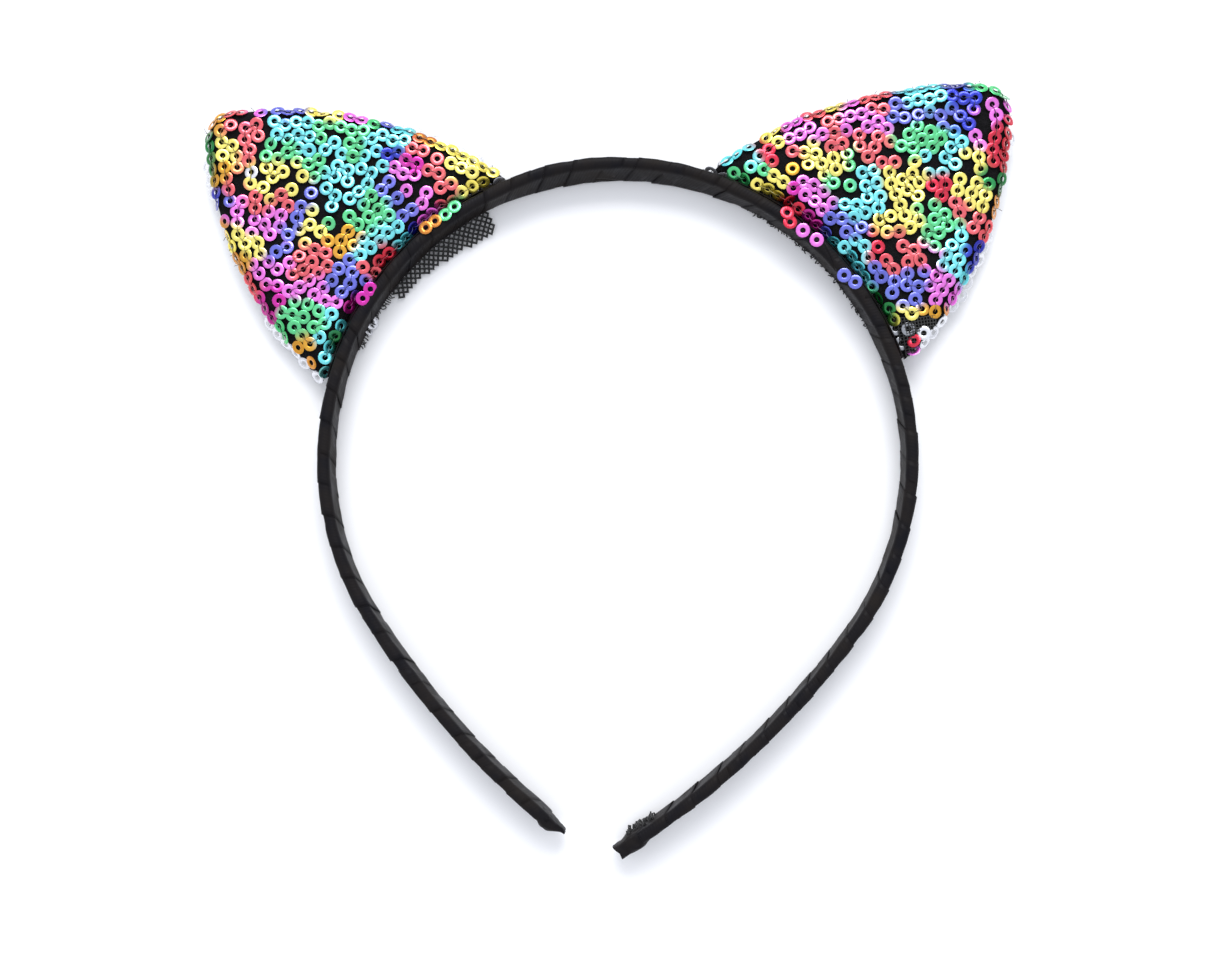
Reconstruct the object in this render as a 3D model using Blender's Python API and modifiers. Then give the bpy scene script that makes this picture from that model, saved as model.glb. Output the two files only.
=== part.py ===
"""Cat-ear headband: a ribbon-wrapped spring strip with two padded, sequinned ears.

The headband lies flat, as it does on a shelf. It stands on the lower edge of its strip at z = 0,
+Y runs from the open ends towards the ears, and +Z points up at the viewer of the ears' fronts.
The origin is under the middle of the whole object. Lengths are given in millimetres and angles
in degrees, and placed in metres.

Places on the hoop are given as an angle from the top of the hoop: negative towards the left ear,
positive towards the right ear. Every piece of the band is a short sweep of one section along the
same centre line, so the strip, its ribbon, the hems and the net flaps stay parallel.
"""

import math

import bmesh
import bpy
from mathutils import Matrix, Vector

MM = 0.001

# The hoop, in plan
HOOP_CENTRE = (2.343, 1.755) # sets the middle of the whole object on the origin
HOOP_R = 60.9                # centre line of the round part
SIDES = {
    "left": {"sign": -1, "sweep": 122.8, "arm_r": 183.0, "arm": 56.0},
    "right": {"sign": 1, "sweep": 125.9, "arm_r": 170.0, "arm": 61.5},
}
SWEEP_STEP = 5.0             # degrees between sections on the round part
ARM_STEP = 8.5               # millimetres between sections on the straighter arms

# The strip and the ribbon wound on it
STRIP = (1.0, 5.8)           # thickness and width of the springy strip
WRAP = 0.3                   # thickness of the ribbon, where its turns overlap
FIT = 0.3                    # clearance between pieces that lie against each other
BAND = (STRIP[0] + 2 * (FIT + WRAP), STRIP[1] + 2 * (FIT + WRAP))
MID_Z = BAND[1] / 2          # the middle plane of the band and of both ears

# Where the hoop bends: the crown ends, and the temples below the ears
CROWN_END = {"left": -19.5, "right": 15.0}
TEMPLE = {"left": -79.5, "right": 77.0}
JOINT_GAP = 0.8              # room between the stretches for the bend
STRIP_END_GAP = 0.6          # the strip stops this far inside its ribbon at a free end

# The ears. u runs along the band towards the crown, w straight out from the hoop's centre
EAR_AT = {"left": -48.5, "right": 44.65}
EAR_BASE_R = BAND[0] / 2 + HOOP_R + 1.5
EAR_HALF = 28.4              # half the width across the two base corners
EAR_TIP = (-3.4, 104.3)      # centre of the rounded tip
EAR_TIP_R = 6.6
TIP_TURN = (152.0, 36.0)     # where the tip's round meets the outer and the crown-side edge
EDGE_BOW = (5.2, 5.0)        # how far the outer and the crown-side edge bow out
TILT_AXIS_W = 60.6           # the ear rocks about this line, between its base corners

# Layers of an ear, from the sequins in: distance inside the outline, half thickness, wall (mm)
SEQUINS = {"inset": 0.0, "half": 3.3, "wall": 0.4}
NET = {"inset": 0.65, "half": 2.65, "wall": 0.3}
PADDING = {"inset": 1.25, "half": 2.1}
SEAM_GAP = 0.9               # between the front and the back panel at the edge seam
ROLL_WIDTH = (0.6, 1.1, 1.7) # the panel rolls off to its edge in three steps, in plan ...
ROLL_RISE = (0.48, 0.33, 0.19)  # ... and as shares of the rise

# Hems on the band's outer face, and the net flaps left over on its inner side
HEM = (0.5, 4.2)
HEM_REACH = 26.0             # degrees each side of the ear's middle
FLAP_THICK = 0.4
FLAP_Z = 0.6
FLAPS = {
    "left": {"depth": 2.6, "from": -67.0, "to": -28.0},
    "right": {"depth": 1.3, "from": 28.0, "to": 63.0},
}

# The cut and glued ends of the ribbon, as outlines: along the arm, then across it
LEFT_END = ((0.0, -1.1), (2.2, -1.1), (3.6, -0.6), (4.3, 0.2), (3.8, 0.8), (2.0, 1.1), (0.0, 1.1))
RIGHT_END = ((0.0, -1.1), (4.4, -1.5), (3.1, -0.1), (5.2, 1.2), (2.4, 1.4), (0.0, 1.1))
END_HEIGHT = 6.0

COLOURS = {
    "spring_steel": ((0.45, 0.46, 0.48), 0.35, 1.0),
    "black_ribbon": ((0.012, 0.012, 0.014), 0.55, 0.0),
    "black_felt": ((0.015, 0.015, 0.016), 0.95, 0.0),
    "black_net": ((0.010, 0.010, 0.011), 0.85, 0.0),
    "rainbow_sequins": ((0.45, 0.18, 0.40), 0.25, 0.6),
    "silver_sequins": ((0.75, 0.76, 0.78), 0.22, 0.9),
}


# ------------------------------------------------------------------ scene and helpers

def clear_scene():
    for old in list(bpy.data.objects):
        bpy.data.objects.remove(old, do_unlink=True)


def new_collection(name):
    collection = bpy.data.collections.new(name)
    bpy.context.scene.collection.children.link(collection)
    return collection


def material(name):
    colour, roughness, metallic = COLOURS[name]
    made = bpy.data.materials.get(name) or bpy.data.materials.new(name)
    made.use_nodes = True
    shader = made.node_tree.nodes["Principled BSDF"]
    shader.inputs["Base Color"].default_value = (*colour, 1.0)
    shader.inputs["Roughness"].default_value = roughness
    shader.inputs["Metallic"].default_value = metallic
    return made


def add_node(collection, name, mesh, colour, pivot=None):
    """Links a mesh, given in world millimetres, as one named piece with its origin on its pivot."""
    pivot = Vector(pivot or (0.0, 0.0, 0.0))
    mesh.transform(Matrix.Scale(MM, 4) @ Matrix.Translation(-pivot))
    mesh.materials.clear()
    mesh.materials.append(material(colour))
    piece = bpy.data.objects.new(name, mesh)
    piece.location = pivot * MM
    collection.objects.link(piece)
    mesh.shade_smooth()
    mesh.set_sharp_from_angle(angle=math.radians(35.0))
    return piece


# ------------------------------------------------------------------ the hoop's centre line

def station(side, along):
    """Point and outward direction on the centre line, a length away from the top of the hoop."""
    shape = SIDES[side]
    sweep = math.radians(shape["sweep"])
    round_length = HOOP_R * sweep
    centre = Vector(HOOP_CENTRE)
    turn = along / HOOP_R
    radius = HOOP_R
    if along > round_length:
        outward = Vector((shape["sign"] * math.sin(sweep), math.cos(sweep)))
        centre += outward * (HOOP_R - shape["arm_r"])
        radius = shape["arm_r"]
        turn = sweep + (along - round_length) / radius
    outward = Vector((shape["sign"] * math.sin(turn), math.cos(turn)))
    return centre + outward * radius, outward


def at_angle(angle):
    """The same, by the angle from the top of the hoop."""
    side = "left" if angle < 0 else "right"
    return station(side, HOOP_R * math.radians(abs(angle)))


def spread(first, last, step):
    """Evenly spaced values from first to last, about one step apart."""
    count = max(2, math.ceil(abs(last - first) / step))
    return [first + (last - first) * i / count for i in range(count + 1)]


def arc_route(first, last, offset=0.0):
    """Route between two angles, a distance outside the centre line."""
    points = []
    for angle in spread(first, last, SWEEP_STEP):
        point, outward = at_angle(angle)
        points.append(point + outward * offset)
    return points


def arm_route(side, start_angle, short=0.0):
    """Route down an arm, from an angle below the ear to its free end."""
    shape = SIDES[side]
    turn_end = HOOP_R * math.radians(shape["sweep"])
    start = HOOP_R * math.radians(abs(start_angle))
    along = spread(start, turn_end, HOOP_R * math.radians(SWEEP_STEP))
    along += spread(turn_end, turn_end + shape["arm"] - short, ARM_STEP)[1:]
    return [station(side, length)[0] for length in along]


# ------------------------------------------------------------------ sweeps

def section(name, thickness, height, corner):
    """A closed rounded rectangle, as the section of a sweep: a guide, not a piece."""
    data = bpy.data.curves.new(name, "CURVE")
    data.dimensions = "2D"
    spline = data.splines.new("POLY")
    half_t, half_h = thickness / 2, height / 2
    corners = []
    for sx, sy in ((1, 1), (-1, 1), (-1, -1), (1, -1)):
        flat = (sx * half_t, sy * (half_h - corner))
        end = (sx * (half_t - corner), sy * half_h)
        corners += [flat, end] if sx * sy > 0 else [end, flat]
    spline.points.add(len(corners) - 1)
    for point, (x, y) in zip(spline.points, corners):
        point.co = (x, y, 0.0, 1.0)
    spline.use_cyclic_u = True
    guide = bpy.data.objects.new(name, data)
    guide.hide_render = True
    guide.display_type = "WIRE"
    guides.objects.link(guide)
    return guide


def evaluated_mesh(guide):
    """A curve's final shape as a welded mesh that faces out; the curve itself is removed."""
    mesh = bpy.data.meshes.new_from_object(guide.evaluated_get(bpy.context.evaluated_depsgraph_get()))
    bpy.data.objects.remove(guide, do_unlink=True)
    shape = bmesh.new()
    shape.from_mesh(mesh)
    bmesh.ops.remove_doubles(shape, verts=shape.verts, dist=0.001)
    bmesh.ops.recalc_face_normals(shape, faces=shape.faces)
    shape.to_mesh(mesh)
    shape.free()
    return mesh


def sweep(name, route, profile, height, capped):
    """A profile carried along a level route, as a welded mesh in millimetres."""
    data = bpy.data.curves.new(name + "_route", "CURVE")
    data.dimensions = "3D"
    data.twist_mode = "Z_UP"
    data.bevel_mode = "OBJECT"
    data.bevel_object = profile
    data.use_fill_caps = capped
    spline = data.splines.new("POLY")
    spline.points.add(len(route) - 1)
    for point, place in zip(spline.points, route):
        point.co = (place.x, place.y, height, 1.0)
    rail = bpy.data.objects.new(name + "_route", data)
    guides.objects.link(rail)
    return evaluated_mesh(rail)


def solidify(piece, wall):
    """Gives an open surface a wall, inwards."""
    shell = piece.modifiers.new("wall", "SOLIDIFY")
    shell.thickness = wall * MM
    shell.offset = -1.0
    shell.use_even_offset = True


def facing_out(mesh, inside):
    """Turns an open surface so that its faces look away from a point inside it."""
    shape = bmesh.new()
    shape.from_mesh(mesh)
    shape.faces.ensure_lookup_table()
    face = shape.faces[0]
    if face.normal.dot(face.calc_center_median() - inside) < 0:
        bmesh.ops.reverse_faces(shape, faces=shape.faces)
    shape.to_mesh(mesh)
    shape.free()


# ------------------------------------------------------------------ band

def band_stretch(name, route, short_route, pivot):
    """One stretch of the springy strip, and the ribbon wound around it."""
    strip = sweep(name, short_route, strip_section, MID_Z, capped=True)
    add_node(band, "strip_" + name, strip, "spring_steel", pivot)
    wrap = sweep(name, route, ribbon_section, MID_Z, capped=False)
    first_middle = (route[0] + route[1]) / 2
    facing_out(wrap, Vector((*first_middle, MID_Z)))
    solidify(add_node(band, "ribbon_" + name, wrap, "black_ribbon", pivot), WRAP)


def bend_pivot(angle):
    point = at_angle(angle)[0]
    return (point.x, point.y, MID_Z)


def make_band():
    half_gap = math.degrees(JOINT_GAP / 2 / HOOP_R)
    crown = arc_route(CROWN_END["left"] + half_gap, CROWN_END["right"] - half_gap)
    band_stretch("crown", crown, crown, None)
    for side, shape in SIDES.items():
        sign = shape["sign"]
        top = CROWN_END[side] + sign * half_gap
        bottom = TEMPLE[side] - sign * half_gap
        route = arc_route(top, bottom)
        band_stretch(side + "_side", route, route, bend_pivot(CROWN_END[side]))
        below = TEMPLE[side] + sign * half_gap
        route = arm_route(side, below)
        short = arm_route(side, below, STRIP_END_GAP)
        band_stretch(side + "_arm", route, short, bend_pivot(TEMPLE[side]))


def ribbon_end(side, outline):
    """The ribbon's own cut end, a flat outline standing on edge past the end of the strip."""
    shape = SIDES[side]
    end = HOOP_R * math.radians(shape["sweep"]) + shape["arm"]
    point, outward = station(side, end)
    onward = Vector((outward.y, -outward.x)) * shape["sign"]
    data = bpy.data.curves.new(side + "_end", "CURVE")
    data.dimensions = "2D"
    data.fill_mode = "BOTH"
    data.extrude = END_HEIGHT / 2
    spline = data.splines.new("POLY")
    spline.points.add(len(outline) - 1)
    for corner, (along, across) in zip(spline.points, outline):
        place = point + onward * (along + FIT) - outward * across
        corner.co = (place.x, place.y, 0.0, 1.0)
    spline.use_cyclic_u = True
    flat = bpy.data.objects.new(side + "_end_outline", data)
    guides.objects.link(flat)
    mesh = evaluated_mesh(flat)
    mesh.transform(Matrix.Translation((0.0, 0.0, MID_Z)))
    add_node(band, side + "_ribbon_end", mesh, "black_ribbon", bend_pivot(TEMPLE[side]))


# ------------------------------------------------------------------ ears

def bowed(start, end, bow, count):
    """Points on an arc from start to end that bows out to the left of its chord."""
    chord = end - start
    half = chord.length / 2
    radius = (half * half + bow * bow) / (2 * bow)
    left = Vector((-chord.y, chord.x)).normalized()
    centre = (start + end) / 2 + left * (bow - radius)
    reach = math.asin(half / radius)
    points = []
    for i in range(count + 1):
        turn = reach - 2 * reach * i / count
        points.append(centre + radius * (left * math.cos(turn) - chord.normalized() * math.sin(turn)))
    return points


def ear_outline():
    """The ear's outline as (u, w) points: outer edge, round tip, crown-side edge, then the base."""
    base_w = math.sqrt(EAR_BASE_R ** 2 - EAR_HALF ** 2)
    tip = Vector(EAR_TIP)
    rounds = []
    for turn in spread(TIP_TURN[0], TIP_TURN[1], 24.0):
        angle = math.radians(turn)
        rounds.append(tip + EAR_TIP_R * Vector((math.cos(angle), math.sin(angle))))
    outer = bowed(Vector((-EAR_HALF, base_w)), rounds[0], EDGE_BOW[0], 7)
    inner = bowed(rounds[-1], Vector((EAR_HALF, base_w)), EDGE_BOW[1], 8)
    reach = math.degrees(math.asin(EAR_HALF / EAR_BASE_R))
    base = []
    for angle in spread(reach, -reach, 6.5)[1:-1]:
        turn = math.radians(angle)
        base.append(EAR_BASE_R * Vector((math.sin(turn), math.cos(turn))))
    return outer + rounds[1:-1] + inner + base


def ear_frame(side):
    """Matrix from an ear's (u, w, height above the middle plane) to the world, in millimetres."""
    sign = SIDES[side]["sign"]
    outward = at_angle(EAR_AT[side])[1]
    towards_crown = Vector((outward.y, -outward.x)) * -sign
    x0, y0 = HOOP_CENTRE
    return Matrix((
        (towards_crown.x, outward.x, 0.0, x0),
        (towards_crown.y, outward.y, 0.0, y0),
        (0.0, 0.0, 1.0, MID_Z),
        (0.0, 0.0, 0.0, 1.0),
    ))


def inset(shape, face, width, depth=0.0):
    bmesh.ops.inset_region(
        shape, faces=[face], thickness=width, depth=depth, use_boundary=True, use_even_offset=True)


def panel(layer, seam_height):
    """An open, domed panel: the outline, rolled up over its edge to a flat middle."""
    shape = bmesh.new()
    corners = [shape.verts.new((u, w, seam_height)) for u, w in ear_outline()]
    face = shape.faces.new(corners)
    shape.normal_update()
    if face.normal.z < 0:
        face.normal_flip()
    if layer["inset"] > 0:
        inset(shape, face, layer["inset"])
        bmesh.ops.delete(shape, geom=[other for other in shape.faces if other != face], context="FACES")
    rise = layer["half"] - seam_height
    for width, share in zip(ROLL_WIDTH, ROLL_RISE):
        inset(shape, face, width, rise * share)
    return shape


def to_mesh(shape, name, matrix):
    bmesh.ops.transform(shape, matrix=matrix, verts=shape.verts)
    if matrix.determinant() < 0:
        bmesh.ops.reverse_faces(shape, faces=shape.faces)
    mesh = bpy.data.meshes.new(name)
    shape.to_mesh(mesh)
    shape.free()
    return mesh


def make_ear(side):
    frame = ear_frame(side)
    pivot = frame @ Vector((0.0, TILT_AXIS_W, 0.0))
    for facing, turned in (("front", 1), ("back", -1)):
        matrix = frame @ Matrix.Diagonal((1.0, 1.0, turned, 1.0))
        for layer, kind in ((SEQUINS, "sequins"), (NET, "net")):
            name = "%s_ear_%s_%s" % (side, facing, kind)
            colour = "black_net"
            if kind == "sequins":
                colour = "rainbow_sequins" if facing == "front" else "silver_sequins"
            mesh = to_mesh(panel(layer, SEAM_GAP / 2), name, matrix)
            solidify(add_node(band, name, mesh, colour, pivot), layer["wall"])
    name = side + "_ear_padding"
    half = add_node(band, name, to_mesh(panel(PADDING, 0.0), name, frame), "black_felt", pivot)
    mirror = half.modifiers.new("other half", "MIRROR")
    mirror.use_axis = (False, False, True)
    mirror.merge_threshold = 0.00001


def make_base(side):
    """The hem that holds an ear on the band, and the net left over on the band's inner side."""
    sign = SIDES[side]["sign"]
    pivot = bend_pivot(CROWN_END[side])
    hem_route = arc_route(
        EAR_AT[side] - sign * HEM_REACH, EAR_AT[side] + sign * HEM_REACH, BAND[0] / 2 + FIT + HEM[0] / 2)
    hem = sweep(side + "_base_hem", hem_route, hem_section, MID_Z, capped=True)
    add_node(band, side + "_base_hem", hem, "black_ribbon", pivot)
    flap = FLAPS[side]
    profile = section(side + "_flap_section", flap["depth"], FLAP_THICK, 0.1)
    inset = BAND[0] / 2 + FIT + flap["depth"] / 2
    flap_route = arc_route(flap["from"], flap["to"], -inset)
    mesh = sweep(side + "_net_flap", flap_route, profile, FLAP_Z, capped=True)
    add_node(band, side + "_net_flap", mesh, "black_net", pivot)


clear_scene()
band = new_collection("cat_ear_headband")
guides = new_collection("guides")
strip_section = section("strip_section", STRIP[0], STRIP[1], 0.2)
ribbon_section = section("ribbon_section", BAND[0], BAND[1], 0.5)
hem_section = section("hem_section", HEM[0], HEM[1], 0.1)
make_band()
ribbon_end("left", LEFT_END)
ribbon_end("right", RIGHT_END)
for ear_side in SIDES:
    make_ear(ear_side)
    make_base(ear_side)
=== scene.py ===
# %% [markdown]
# # A cat-ear headband with sequin ears
# The object is a springy strip wound with black satin ribbon, with two padded ears sewn on. Each ear
# is a pocket of black net covered in small ring sequins: rainbow ones in front, silver ones behind.
# A frame of plain solids already holds every size, place and joint. This file dresses that frame.

# %% Load the frame
import math
import random

import bmesh
import bpy
import numpy as np
from mathutils import Matrix, Vector, noise


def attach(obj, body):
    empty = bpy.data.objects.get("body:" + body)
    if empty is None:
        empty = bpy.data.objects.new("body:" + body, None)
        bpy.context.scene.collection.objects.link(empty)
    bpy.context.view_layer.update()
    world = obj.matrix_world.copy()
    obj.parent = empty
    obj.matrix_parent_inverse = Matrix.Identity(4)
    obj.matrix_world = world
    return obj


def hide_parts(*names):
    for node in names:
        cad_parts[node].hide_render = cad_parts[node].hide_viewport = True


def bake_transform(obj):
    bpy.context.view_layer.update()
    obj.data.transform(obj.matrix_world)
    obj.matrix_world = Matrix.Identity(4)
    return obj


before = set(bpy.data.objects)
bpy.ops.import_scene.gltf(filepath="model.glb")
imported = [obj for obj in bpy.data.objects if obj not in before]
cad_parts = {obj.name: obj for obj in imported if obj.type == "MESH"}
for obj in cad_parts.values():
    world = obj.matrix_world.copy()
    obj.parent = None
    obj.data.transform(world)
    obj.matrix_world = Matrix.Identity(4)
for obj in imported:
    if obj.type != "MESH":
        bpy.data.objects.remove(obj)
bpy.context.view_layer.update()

MM = 0.001

# %% [markdown]
# ## The hoop's line
# The band follows one smooth line: a round hoop, then an arm on each side that is nearly straight.
# It could be a Bezier curve, but two tangent arcs a side say the same with four numbers, and any
# length along them gives an exact point and an outward direction. These are the frame's own sizes.
# A length is positive towards the right ear and negative towards the left one, from the crown.

# %% Centre line of the band
HOOP_CENTRE = Vector((2.343, 1.755))
HOOP_R = 60.9
MID_Z = 3.5
SWEEP = {-1: 122.8, 1: 125.9}
ARM_R = {-1: 183.0, 1: 170.0}
ARM = {-1: 56.0, 1: 61.5}
SIDE = {-1: "left", 1: "right"}
EAR_AT = {-1: -48.5, 1: 44.65}
CROWN_END = {-1: -19.5, 1: 15.0}
TEMPLE = {-1: -79.5, 1: 77.0}


def along_hoop(angle):
    return HOOP_R * math.radians(angle)


def band_line(length):
    """Point and outward direction in plan, at a signed length from the crown, in millimetres."""
    sign = -1 if length < 0 else 1
    sweep = math.radians(SWEEP[sign])
    beyond = abs(length) - HOOP_R * sweep
    turn, radius, centre = abs(length) / HOOP_R, HOOP_R, HOOP_CENTRE.copy()
    if beyond > 0:
        radius = ARM_R[sign]
        centre += Vector((sign * math.sin(sweep), math.cos(sweep))) * (HOOP_R - radius)
        turn = sweep + beyond / radius
    outward = Vector((sign * math.sin(turn), math.cos(turn)))
    return centre + outward * radius, outward


def outward_at(angle):
    return band_line(along_hoop(angle))[1]


def band_end(sign):
    return sign * (along_hoop(SWEEP[sign]) + ARM[sign])


print("length of the band, mm:", round(band_end(1) - band_end(-1), 1))

# %% [markdown]
# ## Small tools
# Every piece is shaped in millimetres, which are easy to think in, and scaled to metres when it is
# finished. Its object stays at the origin, so patterns that use object coordinates stay true.

# %% Finish a piece
def finish_piece(name, shape, material, smooth=40.0):
    bmesh.ops.scale(shape, vec=(MM, MM, MM), verts=shape.verts)
    mesh = bpy.data.meshes.new(name)
    shape.to_mesh(mesh)
    shape.free()
    mesh.materials.append(material)
    mesh.shade_smooth()
    mesh.set_sharp_from_angle(angle=math.radians(smooth))
    piece = bpy.data.objects.new(name, mesh)
    bpy.context.scene.collection.objects.link(piece)
    print(name, len(mesh.polygons), "faces")
    return piece


def cloth_grid(cells_long, cells_wide, place, uv_size):
    """A woven piece: a flat grid whose every point is carried to its place. place(a, b) takes two
    shares from 0 to 1, along and across, and the UV map keeps the cloth's own size in centimetres."""
    shape = bmesh.new()
    bmesh.ops.create_grid(shape, x_segments=cells_long, y_segments=cells_wide, size=0.5, calc_uvs=True)
    uv_layer = shape.loops.layers.uv.verify()
    for face in shape.faces:
        for corner in face.loops:
            corner[uv_layer].uv = [
                (share + 0.5) * size / 10 for share, size in zip(corner.vert.co, uv_size)]
    for vert in shape.verts:
        vert.co = place(vert.co.x + 0.5, vert.co.y + 0.5)
    return shape


def ease(value, start, end):
    share = min(max((value - start) / (end - start), 0.0), 1.0)
    return share * share * (3 - 2 * share)


def ripple(*at):
    """Smooth noise at a place given by three numbers; it stays between -1 and 1."""
    return noise.noise(Vector(at))


def in_plan(centre, outward, far, height):
    """A point that is so far out from a centre in plan, at a height."""
    spot = centre + outward * far
    return Vector((spot.x, spot.y, height))


def thicken(piece, wall):
    """Give a cloth its thickness, on the side that faces in."""
    cloth = piece.modifiers.new("cloth thickness", "SOLIDIFY")
    cloth.thickness = wall * MM
    cloth.offset = -1.0


# %% [markdown]
# ## Colour and node helpers
# Colours are picked as hex values, as a painter reads them on a screen. Blender wants linear light,
# so one function converts them. One more function adds a node, sets it and wires it up.

# %% Colour and node helpers
def linear(hex_colour):
    channels = [int(hex_colour[i:i + 2], 16) / 255 for i in (1, 3, 5)]
    return [c / 12.92 if c <= 0.04045 else ((c + 0.055) / 1.055) ** 2.4 for c in channels] + [1.0]


def plug(material, node, inputs):
    """Set a node's inputs, each to a value or to another node's output."""
    for key, value in inputs.items():
        if isinstance(value, bpy.types.NodeSocket):
            material.node_tree.links.new(value, node.inputs[key])
        else:
            node.inputs[key].default_value = value


def add(material, kind, inputs=None, **settings):
    made = material.node_tree.nodes.new("ShaderNode" + kind)
    for key, value in settings.items():
        setattr(made, key, value)
    plug(material, made, inputs or {})
    return made


def new_finish(name):
    material = bpy.data.materials.new(name)
    material.use_nodes = True
    return material


def shaded(material, **inputs):
    """Set inputs of the material's shader. An underscore stands for a space in an input's name."""
    shader = material.node_tree.nodes["Principled BSDF"]
    plug(material, shader, {key.replace("_", " "): value for key, value in inputs.items()})
    return material


# %% [markdown]
# ## What most finishes share
# Real materials vary a little from place to place. Each finish could list all its nodes, but most of
# them use the same few steps, so each step is a function: a grain in object space, a colour between
# two by a value, a value carried to another range, two values added, and relief from a height.

# %% Steps of a finish
def grain(material, scale, **more):
    place = add(material, "TexCoord")
    made = add(material, "TexNoise", {"Vector": place.outputs["Object"], "Scale": scale, **more})
    return made.outputs["Fac"]


def tones(material, value, dark, light, stops=(0.0, 1.0)):
    ramp = add(material, "ValToRGB", {"Fac": value})
    for stop, colour, position in zip(ramp.color_ramp.elements, (dark, light), stops):
        stop.color, stop.position = linear(colour), position
    return ramp.outputs["Color"]


def ranged(material, value, low, high, first=0.0, last=1.0):
    """Carry a value that runs from first to last over to the range from low to high."""
    return add(material, "MapRange", {"Value": value, "From Min": first, "From Max": last,
                                      "To Min": low, "To Max": high}).outputs["Result"]


def added(material, one, other):
    return add(material, "Math", {0: one, 1: other}, operation="ADD").outputs["Value"]


def relief(material, height, strength, depth):
    return add(material, "Bump", {"Height": height, "Strength": strength,
                                  "Distance": depth}).outputs["Normal"]


# %% [markdown]
# ## Satin ribbon
# Black polyester satin: the warp floats over the surface, so it shines softly along the ribbon and
# shows fine lengthwise lines. Dye and rubbing leave it a little brown here and blue there. The real
# warp is about 0.1 mm from thread to thread, too fine to see, so it is drawn several times coarser.

# %% Satin ribbon
WARP_BANDS = 4.8             # wave scale of the warp lines, on a UV map in centimetres


def satin_ribbon():
    satin = new_finish("woven_polyester_satin")
    cloth = add(satin, "UVMap")
    warp = add(
        satin, "TexWave", {"Vector": cloth.outputs["UV"], "Scale": WARP_BANDS, "Distortion": 1.2,
                           "Detail": 2.0, "Detail Scale": 3.0}, bands_direction="Y")
    blotch = grain(satin, 160.0, Detail=4.0, Roughness=0.6)
    fuzz = grain(satin, 2600.0, Detail=2.0)
    return shaded(
        satin, Sheen_Weight=0.03, Sheen_Roughness=0.4, Sheen_Tint=linear("#8a7a72"),
        Specular_IOR_Level=0.1, Base_Color=tones(satin, blotch, "#0d0d13", "#1d1917", (0.32, 0.7)),
        Roughness=ranged(satin, blotch, 0.4, 0.62, 0.3, 0.7),
        Normal=relief(satin, added(satin, warp.outputs["Fac"], fuzz), 0.35, 0.00006))


RIBBON = satin_ribbon()

# %% [markdown]
# ## The wound ribbon
# One ribbon 10 mm wide is wound round the strip from the left tip to the right tip. Every turn covers
# part of the turn before it, and that leaves a slanting step at each edge: the notches in the band's
# outline. The band could be a plain tube with a bump pattern, but a bump leaves the outline smooth.
# So the ribbon is made as it is: a long grid, laid on the strip as a helix, with the covered part of
# each turn tucked under the next one. It is cut into four where no joint bends it, because each
# piece can bend at one joint only.

# %% Section of the wound strip
RIBBON_WIDTH = 10.0
PITCH = 6.6
STEP_UP = 0.08               # a ribbon lying on another stands this much higher
RIBBON_THICK = 0.12
PUCKER, SWELL, WANDER = 0.1, 0.2, 0.9    # small folds, slow swellings, and how far a turn strays
CELL_LONG, CELLS_WIDE = 0.52, 9          # the ribbon's grid: length of a cell, and cells across
HALF_THICK, HALF_TALL = 1.12, 3.62
BAND_Z = 3.85                # middle of the wound band: it lies on the floor, and is fatter than the strip
CORNER_R = 0.65
CROWN_ENDS = (14.0, 30.0)    # lengths over which the crown's own section turns into the sides'
CROWN_LEAN, CROWN_SLIM = 0.17, 0.08     # there the band leans outward as it rises, and is thinner
FLAT_T, FLAT_Z = 2 * (HALF_THICK - CORNER_R), 2 * (HALF_TALL - CORNER_R)
QUARTER = CORNER_R * math.pi / 2
GIRTH = 2 * (FLAT_T + FLAT_Z) + 4 * QUARTER
SLANT = math.hypot(PITCH, GIRTH)


def round_section(travel):
    """Point and normal on the section, up the inner face first, as (outward, up) pairs."""
    travel %= GIRTH
    sides = ((-1, 0, FLAT_Z), (0, 1, FLAT_T), (1, 0, FLAT_Z), (0, -1, FLAT_T))
    for out, up, flat in sides:
        ahead = Vector((up, -out))
        middle = Vector((out * HALF_THICK, up * HALF_TALL))
        if travel <= flat:
            return middle + ahead * (travel - flat / 2), Vector((out, up))
        travel -= flat
        if travel <= QUARTER:
            turn = travel / CORNER_R
            corner = middle + ahead * (flat / 2) - Vector((out, up)) * CORNER_R
            normal = Vector((out, up)) * math.cos(turn) + ahead * math.sin(turn)
            return corner + normal * CORNER_R, normal
        travel -= QUARTER
    return Vector((-HALF_THICK, -FLAT_Z / 2)), Vector((-1, 0))


print("one turn of ribbon goes round", round(GIRTH, 1), "mm of strip")

# %% Lay the ribbon on the strip
TIP_TAPER = {-1: (3.0, 0.9), 1: (3.0, 0.95)}     # length of the taper at a tip, and what it ends at


def on_band(length, travel, lift):
    """A point on the wound band, from its length along it, travel round it, and height above it."""
    sign = -1 if length < 0 else 1
    to_tip = abs(band_end(sign)) - abs(length)
    reach, least = TIP_TAPER[sign]
    slim = least + (1 - least) * ease(to_tip, 0.0, reach)
    point, outward = band_line(length)
    spot, normal = round_section(travel)
    at_crown = 1 - ease(abs(length), *CROWN_ENDS)
    out = spot.x * slim * (1 - CROWN_SLIM * at_crown) + normal.x * lift + spot.y * CROWN_LEAN * at_crown
    up = spot.y * (0.5 + slim / 2) + normal.y * lift
    return in_plan(point, outward, out, max(BAND_Z + up, 0.02))


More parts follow.
